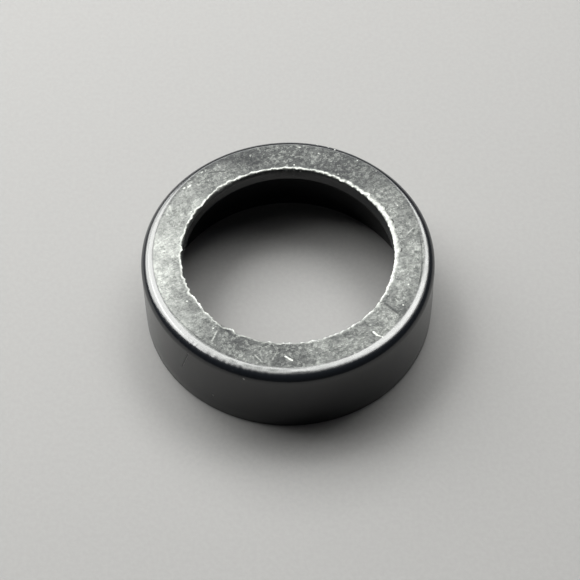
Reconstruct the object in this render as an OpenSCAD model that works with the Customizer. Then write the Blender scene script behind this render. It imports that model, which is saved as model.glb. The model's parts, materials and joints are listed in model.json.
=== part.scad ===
// Sealing ring of the cap type: a flat flange with a round bore, carried on a plain
// cylindrical skirt. The skirt is hollow and wider than the bore, so the flange makes
// an inward lip that seals on the rim that the ring is pushed over.
// Units are millimetres and +Z is up. The origin is the centre of the foot, in the
// plane that the ring stands on.

/* [Ring] */
// Outside diameter of the flange and the skirt
outer_d = 30; // [27:0.5:40]
// Height from the foot to the top face
ring_h = 8.8; // [5:0.1:14]

/* [Flange] */
// Diameter of the bore through the flange
bore_d = 21.6; // [14:0.1:24.4]
// Thickness of the flange
flange_t = 1.75; // [1:0.05:3]

/* [Skirt] */
// Wall thickness of the skirt
skirt_wall = 1.9; // [1.2:0.1:3]

/* [Edges] */
// Radius of the shoulder between the top face and the outer wall
shoulder_r = 1; // [0.2:0.05:1.5]
// Radius of the fillet inside, between the flange and the skirt
root_r = 0.45; // [0.1:0.05:0.8]
// Radius on the two edges of the foot
foot_r = 0.15; // [0.05:0.05:0.4]

/* [Hidden] */
$fn = 96;
rubber = [0.07, 0.07, 0.09];
outer_r = outer_d / 2;
bore_r = bore_d / 2;
skirt_in_r = outer_r - skirt_wall;
// Height of the flange's underside, where the hollow of the skirt ends
underside_z = ring_h - flange_t;
// A rounded edge never takes more than the wall that it is on
shoulder = min(shoulder_r, flange_t, skirt_wall);
foot = min(foot_r, skirt_wall / 2);
// How far a cut runs past the face that it opens
past = 1;

// What a rounding of radius r takes off a corner that points towards +X and +Y
module rounding(r) {
    difference() {
        translate([-r, -r]) square(r + past);
        translate([-r, -r]) circle(r);
    }
}

// The hollow under the flange, with the root fillet in its upper corner
module hollow_section() {
    difference() {
        translate([bore_r - past, -past]) square([skirt_in_r - bore_r + past, underside_z + past]);
        translate([skirt_in_r, underside_z]) rounding(root_r);
    }
}

// Half of the ring's cross-section: radius along X, height along Y
module ring_section() {
    difference() {
        translate([bore_r, 0]) square([outer_r - bore_r, ring_h]);
        hollow_section();
        translate([outer_r, ring_h]) rounding(shoulder);
        translate([outer_r, 0]) mirror([0, 1]) rounding(foot);
        translate([skirt_in_r, 0]) rotate(180) rounding(foot);
    }
}

module sealing_ring() {
    color(rubber) rotate_extrude() ring_section();
}

sealing_ring();
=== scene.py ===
import json
import math

import bpy
import numpy as np
from mathutils import Matrix, Vector


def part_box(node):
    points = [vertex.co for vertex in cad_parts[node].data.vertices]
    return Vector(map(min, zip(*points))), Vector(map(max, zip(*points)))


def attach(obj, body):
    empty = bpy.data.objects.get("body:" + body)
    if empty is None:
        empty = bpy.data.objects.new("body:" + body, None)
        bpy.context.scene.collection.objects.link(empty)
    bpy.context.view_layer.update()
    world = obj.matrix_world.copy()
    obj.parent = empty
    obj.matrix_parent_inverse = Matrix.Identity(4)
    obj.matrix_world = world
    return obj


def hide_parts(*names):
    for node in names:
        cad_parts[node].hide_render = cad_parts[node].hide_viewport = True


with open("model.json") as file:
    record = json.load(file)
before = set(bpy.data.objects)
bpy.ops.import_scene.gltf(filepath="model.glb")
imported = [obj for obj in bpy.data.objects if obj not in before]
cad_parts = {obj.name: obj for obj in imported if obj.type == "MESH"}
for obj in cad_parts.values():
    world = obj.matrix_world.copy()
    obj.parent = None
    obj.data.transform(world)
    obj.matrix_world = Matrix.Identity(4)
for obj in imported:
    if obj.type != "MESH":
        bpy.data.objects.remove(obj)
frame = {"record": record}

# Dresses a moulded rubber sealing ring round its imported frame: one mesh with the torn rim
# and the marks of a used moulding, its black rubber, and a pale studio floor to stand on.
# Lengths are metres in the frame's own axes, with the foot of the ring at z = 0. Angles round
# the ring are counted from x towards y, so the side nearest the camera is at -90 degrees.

bl_info = {
    "name": "Moulded Sealing Ring",
    "version": (1, 0, 0),
    "blender": (4, 5, 0),
    "location": "3D View > Sidebar > Sealing Ring",
    "description": "Makes a moulded rubber sealing ring and the studio that it stands in",
    "category": "Add Mesh",
}

MM = 0.001
TURN = 2 * math.pi
NODE = "sealing_ring"
PIECE = "sealing_ring_skin"
BODY = "root"
SLOT = "black_rubber"

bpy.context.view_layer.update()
RING_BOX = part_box(NODE)
MOUNTS = {mount["name"]: mount["dims"] for mount in frame["record"]["mounts"]}


# ---------------------------------------------------------------- settings


class RingSizes(bpy.types.PropertyGroup):
    """Sizes of the moulding and of what wear did to it"""

    outer_radius: bpy.props.FloatProperty(
        name="Outer radius", description="Outside radius of the flange and the skirt",
        default=(RING_BOX[1].x - RING_BOX[0].x) / 2, min=0, unit="LENGTH", precision=5)
    height: bpy.props.FloatProperty(
        name="Height", description="From the foot to the top face",
        default=RING_BOX[1].z, min=0, unit="LENGTH", precision=5)
    bore_radius: bpy.props.FloatProperty(
        name="Bore radius", description="Radius of the bore through the flange",
        default=MOUNTS["flange_bore"]["r_mm"] * MM, min=0, unit="LENGTH", precision=5)
    flange_thickness: bpy.props.FloatProperty(
        name="Flange thickness", description="From the flange's underside to the top face",
        default=MOUNTS["flange_bore"]["length_mm"] * MM, min=0, unit="LENGTH", precision=5)
    skirt_radius: bpy.props.FloatProperty(
        name="Skirt's inner radius", description="Radius of the hollow under the flange",
        default=MOUNTS["skirt_bore"]["r_mm"] * MM, min=0, unit="LENGTH", precision=5)
    shoulder_radius: bpy.props.FloatProperty(
        name="Shoulder radius", description="Rounding between the top face and the outer wall",
        default=1.0 * MM, min=0, unit="LENGTH", precision=5)
    root_radius: bpy.props.FloatProperty(
        name="Root radius", description="Fillet between the flange's underside and the skirt",
        default=0.45 * MM, min=0, unit="LENGTH", precision=5)
    foot_radius: bpy.props.FloatProperty(
        name="Foot radius", description="Rounding of the two edges of the foot",
        default=0.15 * MM, min=0, unit="LENGTH", precision=5)
    crease_radius: bpy.props.FloatProperty(
        name="Crease radius", description="Where the mould's joint left a fine line in the top face",
        default=13.72 * MM, min=0, unit="LENGTH", precision=5)
    crease_depth: bpy.props.FloatProperty(
        name="Crease depth", description="Depth of the fine line in the top face",
        default=0.035 * MM, min=0, unit="LENGTH", precision=6)
    flash_width: bpy.props.FloatProperty(
        name="Flash width", description="Usual width of the torn flash round the bore's rim",
        default=0.13 * MM, min=0, unit="LENGTH", precision=6)
    flash_height: bpy.props.FloatProperty(
        name="Flash height", description="Usual height of the torn flash above the top face",
        default=0.05 * MM, min=0, unit="LENGTH", precision=6)
    waviness: bpy.props.FloatProperty(
        name="Waviness", description="How far the moulding strays from true roundness",
        default=0.03 * MM, min=0, unit="LENGTH", precision=6)
    rim_shift: bpy.props.FloatProperty(
        name="Rim shift", description="How far the torn rim sits off the ring's centre",
        default=0.12 * MM, min=0, unit="LENGTH", precision=6)
    steps: bpy.props.IntProperty(
        name="Steps", description="Number of steps round the ring",
        default=1080, min=48, max=2000)


class RubberFinish(bpy.types.PropertyGroup):
    """Colours and surface of the rubber"""

    rubber: bpy.props.FloatVectorProperty(
        name="Rubber", description="Colour of the clean rubber",
        default=(0.0026, 0.0034, 0.0049), min=0, max=1, subtype="COLOR")
    bloom: bpy.props.FloatVectorProperty(
        name="Bloom", description="Colour of the dusty bloom on the top face",
        default=(0.300, 0.311, 0.294), min=0, max=1, subtype="COLOR")
    dust: bpy.props.FloatVectorProperty(
        name="Dust", description="Colour of dust specks, scratches and torn rubber",
        default=(0.42, 0.43, 0.41), min=0, max=1, subtype="COLOR")
    bloom_amount: bpy.props.FloatProperty(
        name="Bloom amount",
        description="How much of the top face the bloom covers where it lies thickest",
        default=0.64, min=0, max=1, subtype="FACTOR")
    wall_roughness: bpy.props.FloatProperty(
        name="Wall roughness", description="Roughness of the moulded walls",
        default=0.22, min=0, max=1, subtype="FACTOR")
    top_roughness: bpy.props.FloatProperty(
        name="Top roughness", description="Roughness of the rubbed top face",
        default=0.63, min=0, max=1, subtype="FACTOR")
    grain_depth: bpy.props.FloatProperty(
        name="Grain depth", description="Depth of the finest grain in the surface",
        default=0.012 * MM, min=0, unit="LENGTH", precision=6)


class StudioSettings(bpy.types.PropertyGroup):
    """Floor, lights and camera"""

    floor: bpy.props.FloatVectorProperty(
        name="Floor", description="Colour of the floor",
        default=(0.1435, 0.141, 0.1405), min=0, max=1, subtype="COLOR")
    floor_radius: bpy.props.FloatProperty(
        name="Floor radius", description="Radius of the floor",
        default=2.5, min=0.1, unit="LENGTH")
    key_power: bpy.props.FloatProperty(
        name="Key power", description="Power of the largest soft panel, behind the ring",
        default=2.97, min=0, unit="POWER")
    room: bpy.props.FloatProperty(
        name="Room light", description="Strength of the even light from all round",
        default=0.05, min=0)
    camera_distance: bpy.props.FloatProperty(
        name="Camera distance", description="From the centre of the ring's foot to the camera",
        default=168.85 * MM, min=0, unit="LENGTH", precision=4)
    camera_elevation: bpy.props.FloatProperty(
        name="Camera elevation", description="Angle of the camera above the floor",
        default=math.radians(55.83), subtype="ANGLE")
    camera_roll: bpy.props.FloatProperty(
        name="Camera roll", description="Turn of the camera about its own line of sight",
        default=math.radians(-0.17), subtype="ANGLE")
    camera_lens: bpy.props.FloatProperty(
        name="Lens", description="Focal length in millimetres on a 36 mm sensor",
        default=99.3, min=1, unit="CAMERA")


# ---------------------------------------------------------------- ring section

# How far the torn rim reaches down the bore and over the top face, in flash widths
RIM_DOWN = 1.8
RIM_OVER = 4.5
# How far inside the crease the top face starts to take finer points
CREASE_MARGIN = 0.45 * MM


def line(start, end, count):
    """Points from start up to, and not including, end."""
    t = np.arange(count)[:, None] / count
    return np.array(start) * (1 - t) + np.array(end) * t


def arc(centre, radius, start_deg, end_deg, count):
    """Points of an arc in the section's plane, without its last point."""
    angle = np.radians(start_deg + (end_deg - start_deg) * np.arange(count) / count)
    return np.array(centre) + radius * np.column_stack([np.cos(angle), np.sin(angle)])


def ring_section(ring):
    """The ring's section as (radius, height) points, from the bore's rim outwards and round to it.

    The last number of each piece is how many points it takes.
    """
    top, wall = ring.height, ring.outer_radius
    underside = top - ring.flange_thickness
    rim_over = ring.bore_radius + RIM_OVER * ring.flash_width
    rim_down = top - RIM_DOWN * ring.flash_width
    crease_in = ring.crease_radius - CREASE_MARGIN
    crease_out = ring.crease_radius + ring.flash_width
    shoulder_in, shoulder_low = wall - ring.shoulder_radius, top - ring.shoulder_radius
    foot_out, foot_in = wall - ring.foot_radius, ring.skirt_radius + ring.foot_radius
    root_in, root_low = ring.skirt_radius - ring.root_radius, underside - ring.root_radius
    pieces = [
        line((rim_over, top), (crease_in, top), 13),
        line((crease_in, top), (crease_out, top), 12),
        line((crease_out, top), (shoulder_in, top), 2),
        arc((shoulder_in, shoulder_low), ring.shoulder_radius, 90, 0, 16),
        line((wall, shoulder_low), (wall, ring.foot_radius), 5),
        arc((foot_out, ring.foot_radius), ring.foot_radius, 0, -90, 3),
        line((foot_out, 0), (foot_in, 0), 2),
        arc((foot_in, ring.foot_radius), ring.foot_radius, -90, -180, 3),
        line((ring.skirt_radius, ring.foot_radius), (ring.skirt_radius, root_low), 4),
        arc((root_in, root_low), ring.root_radius, 0, 90, 5),
        line((root_in, underside), (ring.bore_radius, underside), 3),
        line((ring.bore_radius, underside), (ring.bore_radius, rim_down), 5),
    ]
    return np.vstack(pieces)


# ---------------------------------------------------------------- wear round the ring

# What differs from side to side. Each entry has its usual value, and then rows with the angle
# and half-width of a side in degrees and the change there. Entries in mm are lengths; the
# others are shares.
SIDES = {
    "flash_width": (1, (18, 34, 1.1), (-118, 30, -0.22)),
    "flash_pinch": (1, (162, 24, -0.25)),
    "flash_height": (1, (-60, 45, -0.6)),
    "rim_dust": (0.88, (-78, 58, -0.60), (170, 30, -0.15)),
    "crease_shift_mm": (0.06, (-130, 28, -0.38), (0, 26, -0.30)),
    # The crease's depth also sets how dark the painted shade along it is in the rubber
    "crease_depth": (0.15, (-150, 50, 0.9), (0, 22, 1.0)),
    "edge_wear": (0.4, (-103, 26, 2.2)),
    "wall_lean_mm": (0, (4, 34, 0.17), (-158, 30, 0.04)),
    # How far the bloom reaches past the crease, over the shoulder
    "bloom_reach": (0, (90, 62, 1.5)),
    # How thickly it lies, as a share of the thickest. This is partly real bloom and partly painted
    # light: it is laid thickest on the left, so the top face reads paler on that side, where the light
    # falls
    "bloom": (0.035, (172, 42, 0.76), (-143, 20, 0.26), (-83, 18, 0.16), (80, 18, -0.15),
              (8, 38, 0.40), (-57, 26, 0.25)),
    # How much more of it lies at the outer edge than at the middle of the face
    "bloom_slope": (0, (-145, 42, 0.20), (172, 32, 0.12), (128, 42, -0.09), (15, 30, -0.07)),
    "shoulder_dust": (0.04, (-103, 19, 0.85), (-62, 14, 0.15), (2, 24, 0.22)),
    # Bites out of the torn rim, and lobes where the depth is below 0
    "rim_bites_mm": (0, (131, 1.3, 0.12), (129, 6.0, 0.14), (145, 4.0, -0.13), (108, 2.5, 0.06),
                     (92, 1.3, 0.07), (71, 1.0, 0.06), (58, 2.0, -0.05), (25, 3.0, 0.12),
                     (5, 4.0, -0.05), (-16, 14.0, -0.07), (-42, 14.0, 0.05), (-105, 6.0, 0.12),
                     (-115, 3.0, 0.12), (-121, 1.2, -0.07), (-125.5, 1.2, 0.11), (-129, 4.5, 0.16),
                     (-147, 6.0, -0.12), (-166, 1.2, 0.08)),
}
# Waves round the ring: size, fewest and most cycles, seed, and how fast the finer waves fade
WAVES = {
    "flash_width": (0.18, 9, 70, 11, 0.5),
    "flash_height": (0.35, 9, 60, 12, 0.5),
    "tear": (0.34, 30, 110, 13, 0.5),
    "fine_tear": (0.16, 110, 300, 14, 0.2),
    "rim_dust": (0.16, 20, 150, 15, 0.3),
    "crease_depth": (0.25, 3, 30, 21, 0.5),
    "fine_edge_wear_mm": (0.006, 40, 160, 22, 0.3),
    "edge_wear_mm": (0.006, 12, 40, 23, 0.5),
    "roundness": (0.6, 2, 7, 31, 1.2),
    "flatness": (0.5, 2, 9, 32, 1.0),
    "bloom": (0.07, 3, 20, 41, 0.5),
    "shoulder_dust": (0.35, 9, 70, 42, 0.4),
}


def near_angle(angle, centre_deg, half_width_deg):
    """1 at an angle round the ring and falling smoothly to 0 about a half-width away."""
    away = (np.degrees(angle) - centre_deg + 180) % 360 - 180
    return np.exp(-((away / half_width_deg) ** 2))


def sides(angle, name):
    """A value at each angle: the usual one, changed near the sides that its entry lists."""
    value, *changes = SIDES[name]
    for centre_deg, half_width_deg, change in changes:
        value = value + change * near_angle(angle, centre_deg, half_width_deg)
    return value


def waves(angle, name):
    """Repeatable waves at each angle, from one entry of the list."""
    size, fewest, most, seed, fading = WAVES[name]
    random = np.random.default_rng(seed)
    cycles = np.arange(fewest, most + 1)
    heights = random.normal(size=len(cycles)) * (cycles / fewest) ** -fading
    shifts = random.uniform(0, TURN, len(cycles))
    total = np.cos(angle * cycles + shifts) @ heights
    return size * (total / np.sqrt((heights ** 2).sum() / 2))[:, None]


def smooth_step(low, high, value):
    """0 up to low, 1 from high on, and a smooth rise between them."""
    t = np.clip((value - low) / (high - low), 0, 1)
    return t * t * (3 - 2 * t)


# ---------------------------------------------------------------- ring surface

# Arrays of the surface have a row for each angle and a column for each point of the section.

# The torn rim, from the bore's wall over the lip to the top face: how far each point lies from
# the bore's edge in flash widths, its height in flash heights, the share of the tear's
# jaggedness that it takes, and how thickly dust and torn rubber cover it.
RIM_POINTS = (
    (0.00, -4.00, 0.1, 0.00),
    (0.05, -2.00, 0.6, 0.30),
    (0.20, -0.60, 1.0, 0.75),
    (0.50, 0.35, 1.0, 0.90),
    (1.00, 0.80, 0.9, 0.90),
    (1.60, 0.60, 0.8, 0.85),
    (2.20, 0.15, 0.65, 0.40),
    (3.00, 0.00, 0.5, 0.00),
)
# Which way the torn rim sits off the centre
RIM_SHIFT_ANGLE = math.radians(130)
# The flash's size before the waves, and its greatest height, as shares of the ring's settings
FLASH_WIDTH_SHARE = 0.66
FLASH_HEIGHT_SHARE = 0.6
MOST_FLASH_HEIGHT = 1.5
LEAST_RIM_DUST = 0.25


def torn_rim(ring, angle):
    """The lip of torn flash round the bore: radii, heights and dust of its points at each angle."""
    out, up, jagged, dusty = np.array(RIM_POINTS).T
    width = ring.flash_width * (FLASH_WIDTH_SHARE + np.abs(waves(angle, "flash_width")))
    width = width * sides(angle, "flash_width") * sides(angle, "flash_pinch")
    height = FLASH_HEIGHT_SHARE + waves(angle, "flash_height")
    height = ring.flash_height * np.clip(height, 0, MOST_FLASH_HEIGHT) * sides(angle, "flash_height")
    shift = ring.rim_shift * np.cos(angle - RIM_SHIFT_ANGLE)
    jag = ring.flash_width * (waves(angle, "tear") + waves(angle, "fine_tear"))
    jag = jag + MM * sides(angle, "rim_bites_mm")
    radii = ring.bore_radius + shift + out * width + jagged * jag
    heights = ring.height + up * np.where(up > 0, height, ring.flash_height)
    dust = dusty * np.clip(sides(angle, "rim_dust") + waves(angle, "rim_dust"), LEAST_RIM_DUST, 1)
    return radii, heights, dust


# In flash widths: the crease's half-width, and how far inside it the face's points move along
# with it where it strays from its radius
CREASE_HALF_WIDTH = 0.4
CREASE_DRAW = 6
# The deepest that the crease can be, as a share of its usual depth
MOST_CREASE = 1.4
# How far down the shoulder its edge is worn, in shoulder radii
EDGE_WEAR_DEPTH = 1.2
# How near the wall the lean is full, in shoulder radii, and the two shares of the height
# between which it grows
LEAN_EDGE = 0.4
LEAN_FROM = 0.2
LEAN_FULL = 0.9
# Heights that are as close as this count as the same
SAME_HEIGHT = 1e-9


def ring_body(ring, angle):
    """The ring apart from its torn rim: radii, heights and crease of its points at each angle."""
    r, z = ring_section(ring).T
    shoulder_in = ring.outer_radius - ring.shoulder_radius

    crease = np.exp(-(((r - ring.crease_radius) / (CREASE_HALF_WIDTH * ring.flash_width)) ** 2))
    crease = crease * (z > ring.height - SAME_HEIGHT)
    drawn = smooth_step(ring.crease_radius - CREASE_DRAW * ring.flash_width, ring.crease_radius, r)
    drawn = drawn * (1 - smooth_step(ring.crease_radius, shoulder_in, r))
    r = r + MM * sides(angle, "crease_shift_mm") * drawn
    depth = sides(angle, "crease_depth") + waves(angle, "crease_depth")
    crease = crease * np.clip(depth, 0, MOST_CREASE)
    z = z - ring.crease_depth * crease

    edge = smooth_step(ring.crease_radius, ring.outer_radius, r)
    edge = edge * smooth_step(ring.height - EDGE_WEAR_DEPTH * ring.shoulder_radius, ring.height, z)
    worn = MM * np.abs(waves(angle, "fine_edge_wear_mm") + waves(angle, "edge_wear_mm"))
    z = z - worn * sides(angle, "edge_wear") * edge

    outside = smooth_step(shoulder_in, ring.outer_radius - LEAN_EDGE * ring.shoulder_radius, r)
    upper = smooth_step(LEAN_FROM * ring.height, LEAN_FULL * ring.height, z)
    r = r - MM * sides(angle, "wall_lean_mm") * outside * upper
    return r, z, crease


# The bloom's outer edge: how far inside the crease it usually runs, how near the wall it can
# reach in shoulder radii, and how softly it ends inwards and outwards in flash widths
BLOOM_INSET = 0.05 * MM
BLOOM_FAR = 0.72
BLOOM_FADE_IN = 1.5
BLOOM_FADE_OUT = 0.5
# The least of it on the top face, and the share of it that is missing past the crease
LEAST_BLOOM = 0.02
BLOOM_LOST_OUTSIDE = 0.8
# How far down the top side counts, in shoulder radii
TOP_SIDE_DEPTH = 1.1
# Dust on the shoulder, in flash widths out from the crease: full from, fading from, gone at
SHOULDER_DUST = (1, 2, 5)
# Its share before the waves, and the most that they can make of it
SHOULDER_DUST_SHARE = 0.75
MOST_SHOULDER_DUST = 1.4


def dust_zones(ring, angle, r, z):
    """How thickly bloom and dust lie at each point of the skin, from 0 to about 1."""
    top_side = z > ring.height - TOP_SIDE_DEPTH * ring.shoulder_radius
    edge_in = ring.crease_radius - BLOOM_INSET
    edge_far = ring.outer_radius - BLOOM_FAR * ring.shoulder_radius
    edge = edge_in + (edge_far - edge_in) * np.clip(sides(angle, "bloom_reach"), 0, 1)
    fade_in, fade_out = BLOOM_FADE_IN * ring.flash_width, BLOOM_FADE_OUT * ring.flash_width
    top_face = smooth_step(ring.bore_radius, ring.bore_radius + ring.flash_width, r) * top_side
    top_face = top_face * (1 - smooth_step(edge - fade_in, edge + fade_out, r))

    share = sides(angle, "bloom") + waves(angle, "bloom")
    across = (2 * r - ring.bore_radius - ring.crease_radius) / (ring.crease_radius - ring.bore_radius)
    share = share + sides(angle, "bloom_slope") * np.clip(across, -1, 1)
    bloom = top_face * np.clip(share, LEAST_BLOOM, 1)
    outside = smooth_step(edge_in, ring.outer_radius - ring.shoulder_radius, r)
    bloom = bloom * (1 - BLOOM_LOST_OUTSIDE * outside)

    full, fading, gone = (ring.crease_radius + out * ring.flash_width for out in SHOULDER_DUST)
    shoulder = smooth_step(ring.crease_radius, full, r) * (1 - smooth_step(fading, gone, r))
    dusty = np.clip(SHOULDER_DUST_SHARE + waves(angle, "shoulder_dust"), 0, MOST_SHOULDER_DUST)
    shoulder = shoulder * (sides(angle, "shoulder_dust") * dusty) * top_side
    return {"top_face": top_face, "bloom": bloom, "shoulder_dust": shoulder}


def ring_surface(ring):
    """The ring's skin: angles, radii and heights of its points, and the zones that its rubber reads."""
    angle = np.arange(ring.steps)[:, None] * TURN / ring.steps
    rim_r, rim_z, rim_dust = torn_rim(ring, angle)
    body_r, body_z, crease = ring_body(ring, angle)
    r = np.hstack([rim_r, body_r])
    z = np.hstack([rim_z, body_z])
    height_share = np.clip(z / ring.height, 0, None)
    r = r + ring.waviness * waves(angle, "roundness")
    z = z + ring.waviness * waves(angle, "flatness") * height_share ** 3
    zones = {"rim_dust": np.hstack([rim_dust, np.zeros_like(body_r)])}
    zones.update(dust_zones(ring, angle, r, z))
    # The crease's depth, which the rubber reads to paint shade along it
    zones["crease"] = np.hstack([np.zeros_like(rim_dust), crease])
    return angle, r, z, zones


def ring_mesh(ring):
    """The ring's closed skin, with the point attributes that its rubber reads."""
    angle, r, z, zones = ring_surface(ring)
    steps, count = r.shape
    points = np.stack([r * np.cos(angle), r * np.sin(angle), z], axis=2)
    here = np.arange(steps * count).reshape(steps, count)
    ahead = np.roll(here, -1, axis=0)
    faces = np.stack([here, ahead, np.roll(ahead, -1, axis=1), np.roll(here, -1, axis=1)], axis=2)
    mesh = bpy.data.meshes.new(PIECE)
    mesh.vertices.add(steps * count)
    mesh.vertices.foreach_set("co", points.astype(np.float32).ravel())
    mesh.loops.add(faces.size)
    mesh.loops.foreach_set("vertex_index", faces.astype(np.int32).ravel())
    mesh.polygons.add(steps * count)
    mesh.polygons.foreach_set("loop_start", np.arange(0, faces.size, 4, dtype=np.int32))
    mesh.polygons.foreach_set("use_smooth", np.ones(steps * count, dtype=bool))
    for name, values in zones.items():
        layer = mesh.attributes.new(name, "FLOAT", "POINT")
        layer.data.foreach_set("value", values.astype(np.float32).ravel())
    mesh.update(calc_edges=True)
    mesh.validate()
    return mesh


# ---------------------------------------------------------------- node sheets


class Signal:
    """What a node gives. Adding to it, multiplying it and so on adds the math node for that."""

    def __init__(self, sheet, socket):
        self.sheet = sheet
        self.socket = socket

    def __add__(self, other):
        return self.sheet.math("ADD", self, other)

    def __sub__(self, other):
        return self.sheet.math("SUBTRACT", self, other)

    def __rsub__(self, other):
        return self.sheet.math("SUBTRACT", other, self)

    def __mul__(self, other):
        return self.sheet.math("MULTIPLY", self, other)

    __radd__ = __add__
    __rmul__ = __mul__

    def larger(self, other):
        """This signal or the other, whichever is larger."""
        return self.sheet.math("MAXIMUM", self, other)


class NodeSheet:
    """Adds nodes to a material's or a group's tree and links them from left to right."""

    # The numbers of a mix node's two inputs and of its result, for each kind of data
    MIX_SOCKETS = {"FLOAT": (2, 3, 0), "RGBA": (6, 7, 2)}
    NODE_SPACING = 200

    def __init__(self, tree):
        self.tree = tree
        self.tree.nodes.clear()

    def add(self, kind, inputs=None, **settings):
        """Adds a node, sets it up, and feeds its inputs by name or number."""
        made = self.tree.nodes.new(kind)
        made.location = (self.NODE_SPACING * len(self.tree.nodes), 0)
        for key, value in settings.items():
            setattr(made, key, value)
        for key, value in (inputs or {}).items():
            self.feed(made.inputs[key], value)
        return made

    def feed(self, socket, value):
        """Links a signal to a socket, or sets the socket to a plain value."""
        if isinstance(value, Signal):
            self.tree.links.new(value.socket, socket)
        else:
            socket.default_value = value

    def signal(self, node, output):
        """One of a node's outputs, by name or number."""
        return Signal(self, node.outputs[output])

    def place(self):
        """The place on the object, in millimetres."""
        metres = self.signal(self.add("ShaderNodeTexCoord"), "Object")
        return self.vector("SCALE", metres, 1 / MM)

    def attribute(self, name):
        """One of the mesh's zones."""
        return self.signal(self.add("ShaderNodeAttribute", attribute_name=name), "Fac")

    def math(self, operation, a, b=0.0, clamp=False):
        """The result of a math node, held between 0 and 1 where it is clamped."""
        made = self.add("ShaderNodeMath", {0: a, 1: b}, operation=operation, use_clamp=clamp)
        return self.signal(made, 0)

    def vector(self, operation, a, b=(0, 0, 0), output=0):
        """The result of a vector math node."""
        second = "Scale" if operation == "SCALE" else 1
        made = self.add("ShaderNodeVectorMath", {0: a, second: b}, operation=operation)
        return self.signal(made, output)

    def noise(self, place, scale, detail=2.0, roughness=0.5, distortion=0.0):
        """A soft noise, mostly between 0.3 and 0.7."""
        made = self.add("ShaderNodeTexNoise", {
            "Vector": place, "Scale": scale, "Detail": detail, "Roughness": roughness,
            "Distortion": distortion})
        return self.signal(made, "Fac")

    def spread(self, value, low, high, to_low=0.0, to_high=1.0):
        """Smoothly maps the stretch from low to high on to another, and holds the ends."""
        made = self.add("ShaderNodeMapRange", {
            "Value": value, "From Min": low, "From Max": high, "To Min": to_low, "To Max": to_high},
            interpolation_type="SMOOTHSTEP")
        return self.signal(made, "Result")

    def mix(self, data_type, share, a, b):
        """Goes from a to b by a share."""
        first, second, result = self.MIX_SOCKETS[data_type]
        made = self.add("ShaderNodeMix", {"Factor": share, first: a, second: b}, data_type=data_type)
        return self.signal(made, result)

    def surface(self, colour, roughness, specular, relief, depth, strength):
        """Ends the sheet with a plain surface, with its relief as bump of a given depth."""
        bump = self.add("ShaderNodeBump", {"Strength": strength, "Distance": depth, "Height": relief})
        skin = self.add("ShaderNodeBsdfPrincipled", {
            "Base Color": colour, "Roughness": roughness, "Specular IOR Level": specular,
            "Normal": self.signal(bump, "Normal")})
        self.add("ShaderNodeOutputMaterial", {"Surface": self.signal(skin, "BSDF")})


def new_material(name):
    """A material with nothing in it yet, and the sheet for its nodes."""
    material = bpy.data.materials.new(name)
    material.use_nodes = True
    return material, NodeSheet(material.node_tree)


# ---------------------------------------------------------------- marks

# The shares of a mark's width at which it starts to fade and is gone
MARK_FADE = (0.25, 0.75)


def mark_group():
    """A node group for a mark along a straight line: 1 close to the line, and 0 away from it."""
    group = bpy.data.node_groups.new("Straight mark", "ShaderNodeTree")
    given_sockets = {"Place": "NodeSocketVector", "Start": "NodeSocketVector",
                     "End": "NodeSocketVector", "Width": "NodeSocketFloat"}
    for name, kind in given_sockets.items():
        group.interface.new_socket(name, in_out="INPUT", socket_type=kind)
    group.interface.new_socket("Mark", in_out="OUTPUT", socket_type="NodeSocketFloat")
    sheet = NodeSheet(group)
    given = sheet.add("NodeGroupInput")
    place, start, end, width = (sheet.signal(given, name) for name in given_sockets)
    way = sheet.vector("SUBTRACT", end, start)
    past = sheet.vector("SUBTRACT", place, start)
    reach = sheet.vector("DOT_PRODUCT", past, way, output="Value")
    whole = sheet.vector("DOT_PRODUCT", way, way, output="Value")
    along = sheet.math("DIVIDE", reach, whole, clamp=True)
    sideways = sheet.vector("SUBTRACT", past, sheet.vector("SCALE", way, along))
    away = sheet.vector("LENGTH", sideways, output="Value")
    mark = sheet.spread(sheet.math("DIVIDE", away, width), *MARK_FADE, 1.0, 0.0)
    sheet.add("NodeGroupOutput", {"Mark": mark})
    return group


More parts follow.
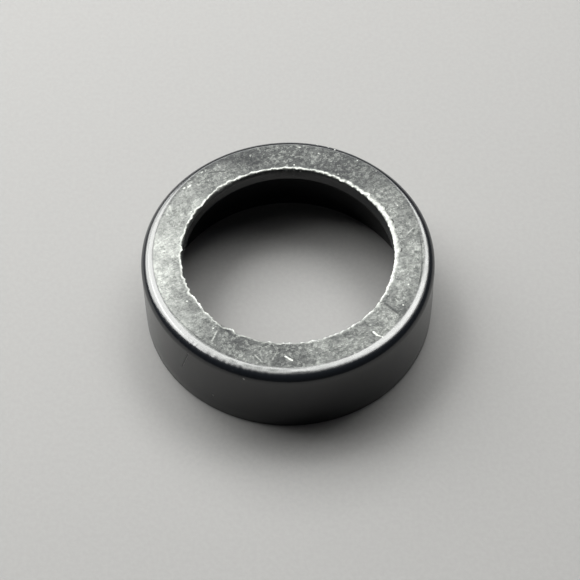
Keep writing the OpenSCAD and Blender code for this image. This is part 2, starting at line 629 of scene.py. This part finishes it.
# Pale marks on the rubber: start, end and width in millimetres, and strength
PALE_MARKS = (
    # A bent scratch at the front right, and the pale end of the crack beside it
    ((8.26, -9.52, 8.8), (8.58, -9.88, 8.8), 0.20, 1.0),
    ((8.58, -9.88, 8.8), (9.14, -10.10, 8.8), 0.12, 0.8),
    ((8.82, -6.24, 8.8), (9.41, -6.12, 8.8), 0.09, 0.5),
    # The dash at the front, and faint scratches to the left of it
    ((-0.34, -12.31, 8.8), (0.30, -12.74, 8.8), 0.18, 1.0),
    ((-3.29, -12.13, 8.8), (-2.60, -12.93, 8.8), 0.14, 0.26),
    ((-2.32, -12.48, 8.8), (-2.03, -12.03, 8.8), 0.10, 0.15),
    ((-1.64, -12.71, 8.8), (-1.06, -11.57, 8.8), 0.10, 0.24),
    ((-7.02, -9.34, 8.8), (-7.48, -10.50, 8.8), 0.14, 0.38),
    # Lint at the back left, and a speck at the back
    ((-10.42, 8.60, 8.8), (-10.20, 8.76, 8.8), 0.19, 1.0),
    ((-10.90, 8.40, 8.8), (-10.80, 8.46, 8.8), 0.17, 0.8),
    ((-9.10, 10.48, 8.8), (-8.98, 10.60, 8.8), 0.17, 0.6),
    ((1.05, 13.88, 8.8), (1.32, 13.86, 8.8), 0.12, 0.8),
    # Faint scratches on the right
    ((12.72, 3.11, 8.8), (12.18, 2.48, 8.8), 0.14, 0.35),
    ((13.62, 1.21, 8.8), (13.03, 1.09, 8.8), 0.09, 0.4),
    # Specks on the outer wall
    ((-4.39, -14.34, 7.98), (-4.36, -14.35, 7.94), 0.20, 0.8),
    ((-7.58, -12.94, 2.66), (-7.56, -12.96, 2.60), 0.16, 0.5),
    # Lint on the shoulder, at the back and on the right
    ((3.02, 14.34, 8.56), (3.18, 14.29, 8.60), 0.13, 0.50),
    ((4.22, 14.03, 8.58), (4.31, 13.95, 8.64), 0.14, 0.55),
    ((4.93, 13.54, 8.73), (4.96, 13.62, 8.70), 0.14, 0.85),
    ((14.42, -2.90, 8.47), (14.60, -3.05, 8.25), 0.09, 0.8),
)
# Cracks and dark hairlines, given in the same way
DARK_MARKS = (
    # The crack on the right, and a hairline down the wall at the front left
    ((9.41, -6.12, 8.8), (10.96, -7.52, 8.8), 0.22, 0.65),
    ((-10.65, -10.56, 4.32), (-9.85, -11.32, 7.74), 0.12, 0.8),
    # A faint smear on the left, hairlines at the back left and two smears at the back
    ((-11.50, -4.32, 8.8), (-9.20, -6.70, 8.8), 0.50, 0.30),
    ((-8.40, 10.41, 8.8), (-6.62, 10.67, 8.8), 0.16, 0.55),
    ((-9.41, 9.08, 8.8), (-8.37, 9.21, 8.8), 0.16, 0.50),
    ((-3.49, 11.73, 8.8), (-2.44, 12.40, 8.8), 0.40, 0.35),
    ((1.25, 12.11, 8.8), (2.50, 11.29, 8.8), 0.50, 0.35),
)


def all_marks(sheet, place, marks, group):
    """The strongest of several straight marks at a place."""
    strongest = None
    for start, end, width, strength in marks:
        made = sheet.add("ShaderNodeGroup", node_tree=group)
        for name, value in (("Place", place), ("Start", start), ("End", end), ("Width", width)):
            sheet.feed(made.inputs[name], value)
        mark = strength * sheet.signal(made, "Mark")
        strongest = mark if strongest is None else strongest.larger(mark)
    return strongest


# ---------------------------------------------------------------- rubber

# Noises in the rubber: scale per millimetre, detail, roughness and distortion, then the two
# values between which each is spread from 0 to 1, or from and to two other values
NOISES = {
    "clouds": (0.35, 4, 0.6, 0.6, 0.30, 0.70),
    "blotches": (1.3, 4, 0.6, 0.3, 0.34, 0.68),
    "grain": (4.8, 3, 0.75, 0.5, 0.38, 0.62),
    "strokes": (1.0, 3, 0.65, 0.7, 0.36, 0.64),
    "torn": (3.5, 3, 0.6, 0.0, 0.30, 0.55, 0.55, 1.0),
    "rubbed": (9.0, 3, 0.7, 0.0, 0.40, 0.70),
}
# Which way the strokes of rubbing run, and how fine they are along, across and down
STROKE_ANGLE = math.radians(-28)
STROKE_SCALE = (1.3, 6.5, 1.0)
# Moulding streaks that run down the walls: how fine they are round and down, their noise's
# scale, detail and roughness, and its range
STREAK_SCALE = (2.6, 2.6, 0.10)
STREAK_NOISE = (1.0, 3, 0.6)
STREAK_RANGE = (0.3, 0.7)
# Short curved threads: scale of their noise, and half-width of the line kept where it is middling
PALE_THREADS = (3.1, 0.12)
DARK_THREADS = (2.2, 0.10)
# Dark threads are taken from this far off, so that they don't run beside the pale ones
DARK_THREADS_SHIFT = (40, 0, 0)
MIDDLE = 0.5
# The threads' detail, roughness and distortion, and the patches that they are kept in: scale
# beside the threads' own, detail, and the range that is spread from none to all
THREAD_NOISE = (3, 0.6, 1.5)
THREAD_PATCHES = (0.9, 1, 0.50, 0.56)
# Specks of dust: cells per millimetre, how large the specks are in their cells, which share
# of the cells has one, and how strong they are on the top face and everywhere
SPECK_CELLS = 1.5
SPECK_SIZE = (0.07, 0.17)
SPECK_CHOICE = (0.70, 0.95)
SPECKS_ON_TOP = 0.75
SPECKS_ALL_OVER = 0.04
# How pale marks break up in the grain, and how the painted shade along the crease breaks up in the
# blotches
PALE_BY_GRAIN = (0.0, 0.7, 0.45, 1.0)
CREASE_SHADE_BY_BLOTCHES = (0.1, 0.9, 0.35, 0.75)
# The bloom's patches: shares of the noises, then contrast, least cover, what dark threads rub
# out, and how far and towards what level thick bloom evens out
PATCH_CLOUDS = 0.40
PATCH_BLOTCHES = 0.22
PATCH_GRAIN = 0.22
PATCH_STROKES = 0.20
PATCH_CONTRAST = 1.10
PATCH_BASE = 0.20
THREADS_RUB_OUT = 0.55
EVENING = 0.35
EVEN_LEVEL = 0.75
# Pale flecks all over the top face: shares of threads and strokes, fewer and more by clouds
FLECK_THREADS = 0.26
FLECK_STROKES = 0.085
FLECKS_BY_CLOUDS = (0.0, 1.0, 0.45, 1.30)
# Dust on the shoulder: what is there between the rubbed spots, and how strongly all of it shows
SHOULDER_DUST_BASE = 0.10
SHOULDER_DUST_SHOWN = 0.30
# How the roughness strays from the finish's own: in the walls' streaks, in the top's grain,
# and what clean rubber on top, dark marks with the crease's painted shade, dust and the shoulder's dust
# add to it
WALL_STREAKS = (-0.01, 0.015)
TOP_GRAIN = (0.10, -0.06)
ROUGHER_CLEAN = 0.26
ROUGHER_MARKED = 0.26
ROUGHER_DUST = 0.2
ROUGHER_SHOULDER = 0.45
# The relief: heights of blotches, threads and marks beside the grain's, and how much of the
# relief the walls and the top face show
RELIEF_BLOTCHES = 0.4
RELIEF_THREADS = 0.8
RELIEF_DARK = 2.0
RELIEF_PALE = 0.8
RELIEF_ALL_OVER = 0.02
RELIEF_ON_TOP = 0.95
RELIEF_STRENGTH = 1.0
SPECULAR = 0.7


def spread_noise(sheet, place, name):
    """One of the rubber's noises, spread over its range."""
    scale, detail, roughness, distortion, *stretch = NOISES[name]
    return sheet.spread(sheet.noise(place, scale, detail, roughness, distortion), *stretch)


def threads(sheet, place, scale, half_width):
    """Short curved threads: a thin line of one noise, kept only in the patches of another."""
    patch_scale, patch_detail, *patch_range = THREAD_PATCHES
    away = sheet.math("ABSOLUTE", sheet.noise(place, scale, *THREAD_NOISE) - MIDDLE)
    lines = sheet.spread(away, 0.0, half_width, 1.0, 0.0)
    patches = sheet.spread(sheet.noise(place, patch_scale * scale, patch_detail), *patch_range)
    return lines * patches


def stroke_places(sheet, place):
    """Places turned and stretched so that a noise at them shows as strokes one way."""
    turned = sheet.add("ShaderNodeVectorRotate", {"Vector": place, "Angle": STROKE_ANGLE},
                       rotation_type="Z_AXIS")
    return sheet.vector("MULTIPLY", sheet.signal(turned, "Vector"), STROKE_SCALE)


def dust_specks(sheet, place, top_face):
    """Small round specks in some of the cells of a cell pattern, most of them on the top face."""
    cells = sheet.add("ShaderNodeTexVoronoi", {"Vector": place, "Scale": SPECK_CELLS}, feature="F1")
    near = sheet.spread(sheet.signal(cells, "Distance"), *SPECK_SIZE, 1.0, 0.0)
    draw = sheet.add("ShaderNodeSeparateColor", {0: sheet.signal(cells, "Color")})
    chosen = sheet.spread(sheet.signal(draw, 0), *SPECK_CHOICE)
    return near * chosen * (SPECKS_ON_TOP * top_face + SPECKS_ALL_OVER)


def rubber_material(finish):
    """Black moulded rubber: satin walls, a top face with bloom, rubbing and dust, and painted shade
    along its crease.
    """
    material, sheet = new_material(SLOT)
    place = sheet.place()
    top_face = sheet.attribute("top_face")
    bloom = sheet.attribute("bloom")
    shoulder_dust = sheet.attribute("shoulder_dust")

    clouds = spread_noise(sheet, place, "clouds")
    blotches = spread_noise(sheet, place, "blotches")
    grain = spread_noise(sheet, place, "grain")
    strokes = spread_noise(sheet, stroke_places(sheet, place), "strokes")
    pale_threads = threads(sheet, place, *PALE_THREADS)
    dark_threads = threads(sheet, sheet.vector("ADD", place, DARK_THREADS_SHIFT), *DARK_THREADS)

    group = mark_group()
    pale = all_marks(sheet, place, PALE_MARKS, group) * sheet.spread(grain, *PALE_BY_GRAIN)
    # Painted shade: the crease is darkened by taking the bloom off along it, broken up by the blotches
    painted_crease_shade = sheet.attribute("crease") * sheet.spread(blotches, *CREASE_SHADE_BY_BLOTCHES)
    dark = all_marks(sheet, place, DARK_MARKS, group).larger(painted_crease_shade)

    # Bloom in soft clouds, broken up by the grain and by short threads rubbed through it
    patches = PATCH_CLOUDS * clouds + PATCH_BLOTCHES * blotches
    patches = patches + PATCH_GRAIN * grain + PATCH_STROKES * strokes
    patches = PATCH_CONTRAST * patches + PATCH_BASE
    patches = patches * (1 - THREADS_RUB_OUT * dark_threads)
    patches = patches + EVENING * bloom * (EVEN_LEVEL - patches)
    flecks = FLECK_THREADS * pale_threads + FLECK_STROKES * strokes
    flecks = flecks * sheet.spread(clouds, *FLECKS_BY_CLOUDS)
    cover = bloom * patches * finish.bloom_amount + flecks * top_face
    cover = sheet.math("MULTIPLY", cover, 1 - dark, clamp=True)

    # Dust on the torn rim, on the worn shoulder, in specks and in pale marks
    edge_dust = shoulder_dust * (spread_noise(sheet, place, "rubbed") + SHOULDER_DUST_BASE)
    dust = sheet.attribute("rim_dust") * spread_noise(sheet, place, "torn")
    dust = dust.larger(SHOULDER_DUST_SHOWN * edge_dust)
    dust = dust.larger(dust_specks(sheet, place, top_face).larger(pale))
    colour = sheet.mix("RGBA", cover, (*finish.rubber, 1), (*finish.bloom, 1))
    colour = sheet.mix("RGBA", dust, colour, (*finish.dust, 1))

    streaks = sheet.noise(sheet.vector("MULTIPLY", place, STREAK_SCALE), *STREAK_NOISE)
    wall_ends = [finish.wall_roughness + change for change in WALL_STREAKS]
    top_ends = [finish.top_roughness + change for change in TOP_GRAIN]
    walls = sheet.spread(streaks, *STREAK_RANGE, *wall_ends)
    tops = sheet.spread(grain, 0.0, 1.0, *top_ends) + ROUGHER_CLEAN * (1 - bloom)
    rough = sheet.mix("FLOAT", top_face, walls, tops)
    marked = ROUGHER_MARKED * dark.larger(dark_threads * top_face)
    rougher = ROUGHER_DUST * dust + (marked + ROUGHER_SHOULDER * shoulder_dust)
    roughness = sheet.math("ADD", rough, rougher, clamp=True)

    relief = grain + RELIEF_BLOTCHES * blotches + RELIEF_THREADS * pale_threads
    relief = relief * (RELIEF_ON_TOP * top_face + RELIEF_ALL_OVER)
    relief = relief - RELIEF_DARK * dark + RELIEF_PALE * pale
    sheet.surface(colour, roughness, SPECULAR, relief, finish.grain_depth, RELIEF_STRENGTH)
    return material


# ---------------------------------------------------------------- studio

# The floor's tooth: its noise, the range that it is spread over, the shade of its hollows,
# and its depth and strength as relief
FLOOR_NOISE = (2.2, 4, 0.6)
FLOOR_RANGE = (0.3, 0.7)
FLOOR_SHADE = 0.94
FLOOR_DEPTH = 0.03 * MM
FLOOR_RELIEF = 0.4
FLOOR_ROUGHNESS = 0.75
FLOOR_SPECULAR = 0.5
# Radii of the floor's rings, as shares of its own radius, and the number of its spokes
FLOOR_RINGS = (0.02, 0.06, 0.2, 0.5, 1.0)
FLOOR_SPOKES = 96

PANEL_DISTANCE = 0.42
PANEL_COLOUR = (0.99, 1, 0.97)
# Soft panels: azimuth and elevation in degrees, width and height in metres, and share of the
# key's power
PANELS = (
    ("key_panel", 192, 52, (0.31, 0.21), 1.0),
    ("left_panel", 241, 40, (0.22, 0.27), 0.74),
    ("low_left_panel", 215, 26, (0.14, 0.14), 0.16),
    ("upper_left_panel", 240, 64, (0.22, 0.10), 0.33),
    ("upper_right_panel", 141, 60, (0.18, 0.18), 0.40),
    ("right_panel", 126, 48, (0.24, 0.24), 0.14),
    ("overhead_panel", 200, 84, (0.36, 0.16), 0.08),
)
ROOM_COLOUR = (0.95, 0.97, 1.0, 1)
CAMERA_AIM = (0.137 * MM, 1.557 * MM, 0)
SENSOR_WIDTH = 36
CAMERA_NEAR = 0.01
CAMERA_FAR = 10


def floor_material(colour):
    """A pale matt floor with a faint tooth."""
    material, sheet = new_material("pale_floor")
    tooth = sheet.noise(sheet.place(), *FLOOR_NOISE)
    shade = [FLOOR_SHADE * part for part in colour]
    mixed = sheet.mix("RGBA", sheet.spread(tooth, *FLOOR_RANGE), (*shade, 1), (*colour, 1))
    sheet.surface(mixed, FLOOR_ROUGHNESS, FLOOR_SPECULAR, tooth, FLOOR_DEPTH, FLOOR_RELIEF)
    return material


def make_floor(studio):
    """A round floor, finer towards the ring."""
    angle = np.arange(FLOOR_SPOKES) * TURN / FLOOR_SPOKES
    points = [(0, 0, 0)]
    for share in FLOOR_RINGS:
        radius = share * studio.floor_radius
        points += [(radius * math.cos(a), radius * math.sin(a), 0) for a in angle]
    beside = [(i + 1) % FLOOR_SPOKES for i in range(FLOOR_SPOKES)]
    faces = [(0, 1 + i, 1 + j) for i, j in enumerate(beside)]
    for ring in range(len(FLOOR_RINGS) - 1):
        first = 1 + ring * FLOOR_SPOKES
        outer = first + FLOOR_SPOKES
        faces += [(first + i, outer + i, outer + j, first + j) for i, j in enumerate(beside)]
    mesh = bpy.data.meshes.new("floor")
    mesh.from_pydata(points, [], faces)
    mesh.materials.append(floor_material(studio.floor))
    floor = bpy.data.objects.new("floor", mesh)
    bpy.context.scene.collection.objects.link(floor)


def place_on_sphere(azimuth_deg, elevation_deg, distance):
    """A point round the origin. Azimuth 0 is the camera's side, 90 the right and 180 the back."""
    azimuth, elevation = math.radians(azimuth_deg), math.radians(elevation_deg)
    return distance * Vector((math.sin(azimuth) * math.cos(elevation),
                              -math.cos(azimuth) * math.cos(elevation), math.sin(elevation)))


def make_panel(name, azimuth_deg, elevation_deg, size, power):
    """A soft light panel that faces the ring."""
    lamp = bpy.data.lights.new(name, "AREA")
    lamp.shape = "RECTANGLE"
    lamp.size, lamp.size_y = size
    lamp.energy = power
    lamp.color = PANEL_COLOUR
    panel = bpy.data.objects.new(name, lamp)
    panel.location = place_on_sphere(azimuth_deg, elevation_deg, PANEL_DISTANCE)
    panel.rotation_euler = (-panel.location).to_track_quat("-Z", "Y").to_euler()
    panel.visible_camera = False
    bpy.context.scene.collection.objects.link(panel)


def make_camera(studio):
    """The camera, on the side of -y and looking just past the ring's centre."""
    data = bpy.data.cameras.new("camera")
    data.lens = studio.camera_lens
    data.sensor_width = SENSOR_WIDTH
    data.clip_start = CAMERA_NEAR
    data.clip_end = CAMERA_FAR
    camera = bpy.data.objects.new("camera", data)
    place = place_on_sphere(0, math.degrees(studio.camera_elevation), studio.camera_distance)
    turn = (Vector(CAMERA_AIM) - place).to_track_quat("-Z", "Y").to_matrix()
    turn = turn @ Matrix.Rotation(studio.camera_roll, 3, "Z")
    camera.matrix_world = Matrix.Translation(place) @ turn.to_4x4()
    bpy.context.scene.collection.objects.link(camera)
    bpy.context.scene.camera = camera


def make_room(scene, strength):
    """Even light from all round, and plain colours in the picture."""
    scene.world = bpy.data.worlds.new("room")
    scene.world.use_nodes = True
    background = scene.world.node_tree.nodes["Background"]
    background.inputs["Color"].default_value = ROOM_COLOUR
    background.inputs["Strength"].default_value = strength
    scene.view_settings.view_transform = "Standard"


# ---------------------------------------------------------------- operators


class SEALINGRING_OT_make_ring(bpy.types.Operator):
    """Make the rubber ring with its torn rim and marks"""

    bl_idname = "sealing_ring.make_ring"
    bl_label = "Make Ring"
    bl_options = {"REGISTER", "UNDO"}

    def execute(self, context):
        mesh = ring_mesh(context.scene.ring_sizes)
        mesh.materials.append(rubber_material(context.scene.ring_finish))
        ring = bpy.data.objects.new(PIECE, mesh)
        context.scene.collection.objects.link(ring)
        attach(ring, BODY)
        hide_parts(NODE)
        return {"FINISHED"}


class SEALINGRING_OT_make_studio(bpy.types.Operator):
    """Make the floor, the soft lights and the camera"""

    bl_idname = "sealing_ring.make_studio"
    bl_label = "Make Studio"
    bl_options = {"REGISTER", "UNDO"}

    def execute(self, context):
        studio = context.scene.ring_studio
        make_floor(studio)
        make_camera(studio)
        for name, azimuth_deg, elevation_deg, size, share in PANELS:
            make_panel(name, azimuth_deg, elevation_deg, size, share * studio.key_power)
        make_room(context.scene, studio.room)
        return {"FINISHED"}


# The settings that the sidebar shows, each with the operator under them
SIDEBAR = (
    ("ring_sizes", None),
    ("ring_finish", "sealing_ring.make_ring"),
    ("ring_studio", "sealing_ring.make_studio"),
)


class SEALINGRING_PT_sidebar(bpy.types.Panel):
    """Sidebar with the ring's settings and its operators"""

    bl_idname = "SEALINGRING_PT_sidebar"
    bl_label = "Sealing Ring"
    bl_space_type = "VIEW_3D"
    bl_region_type = "UI"
    bl_category = "Sealing Ring"

    def draw(self, context):
        for group, operator in SIDEBAR:
            settings = getattr(context.scene, group)
            box = self.layout.box()
            for name in settings.__annotations__:
                box.prop(settings, name)
            if operator:
                box.operator(operator)


CLASSES = (RingSizes, RubberFinish, StudioSettings, SEALINGRING_OT_make_ring,
           SEALINGRING_OT_make_studio, SEALINGRING_PT_sidebar)


def register():
    for cls in CLASSES:
        bpy.utils.register_class(cls)
    bpy.types.Scene.ring_sizes = bpy.props.PointerProperty(type=RingSizes)
    bpy.types.Scene.ring_finish = bpy.props.PointerProperty(type=RubberFinish)
    bpy.types.Scene.ring_studio = bpy.props.PointerProperty(type=StudioSettings)


def unregister():
    del bpy.types.Scene.ring_sizes
    del bpy.types.Scene.ring_finish
    del bpy.types.Scene.ring_studio
    for cls in reversed(CLASSES):
        bpy.utils.unregister_class(cls)


def main():
    register()
    bpy.ops.sealing_ring.make_ring()
    bpy.ops.sealing_ring.make_studio()


if __name__ == "__main__":
    main()
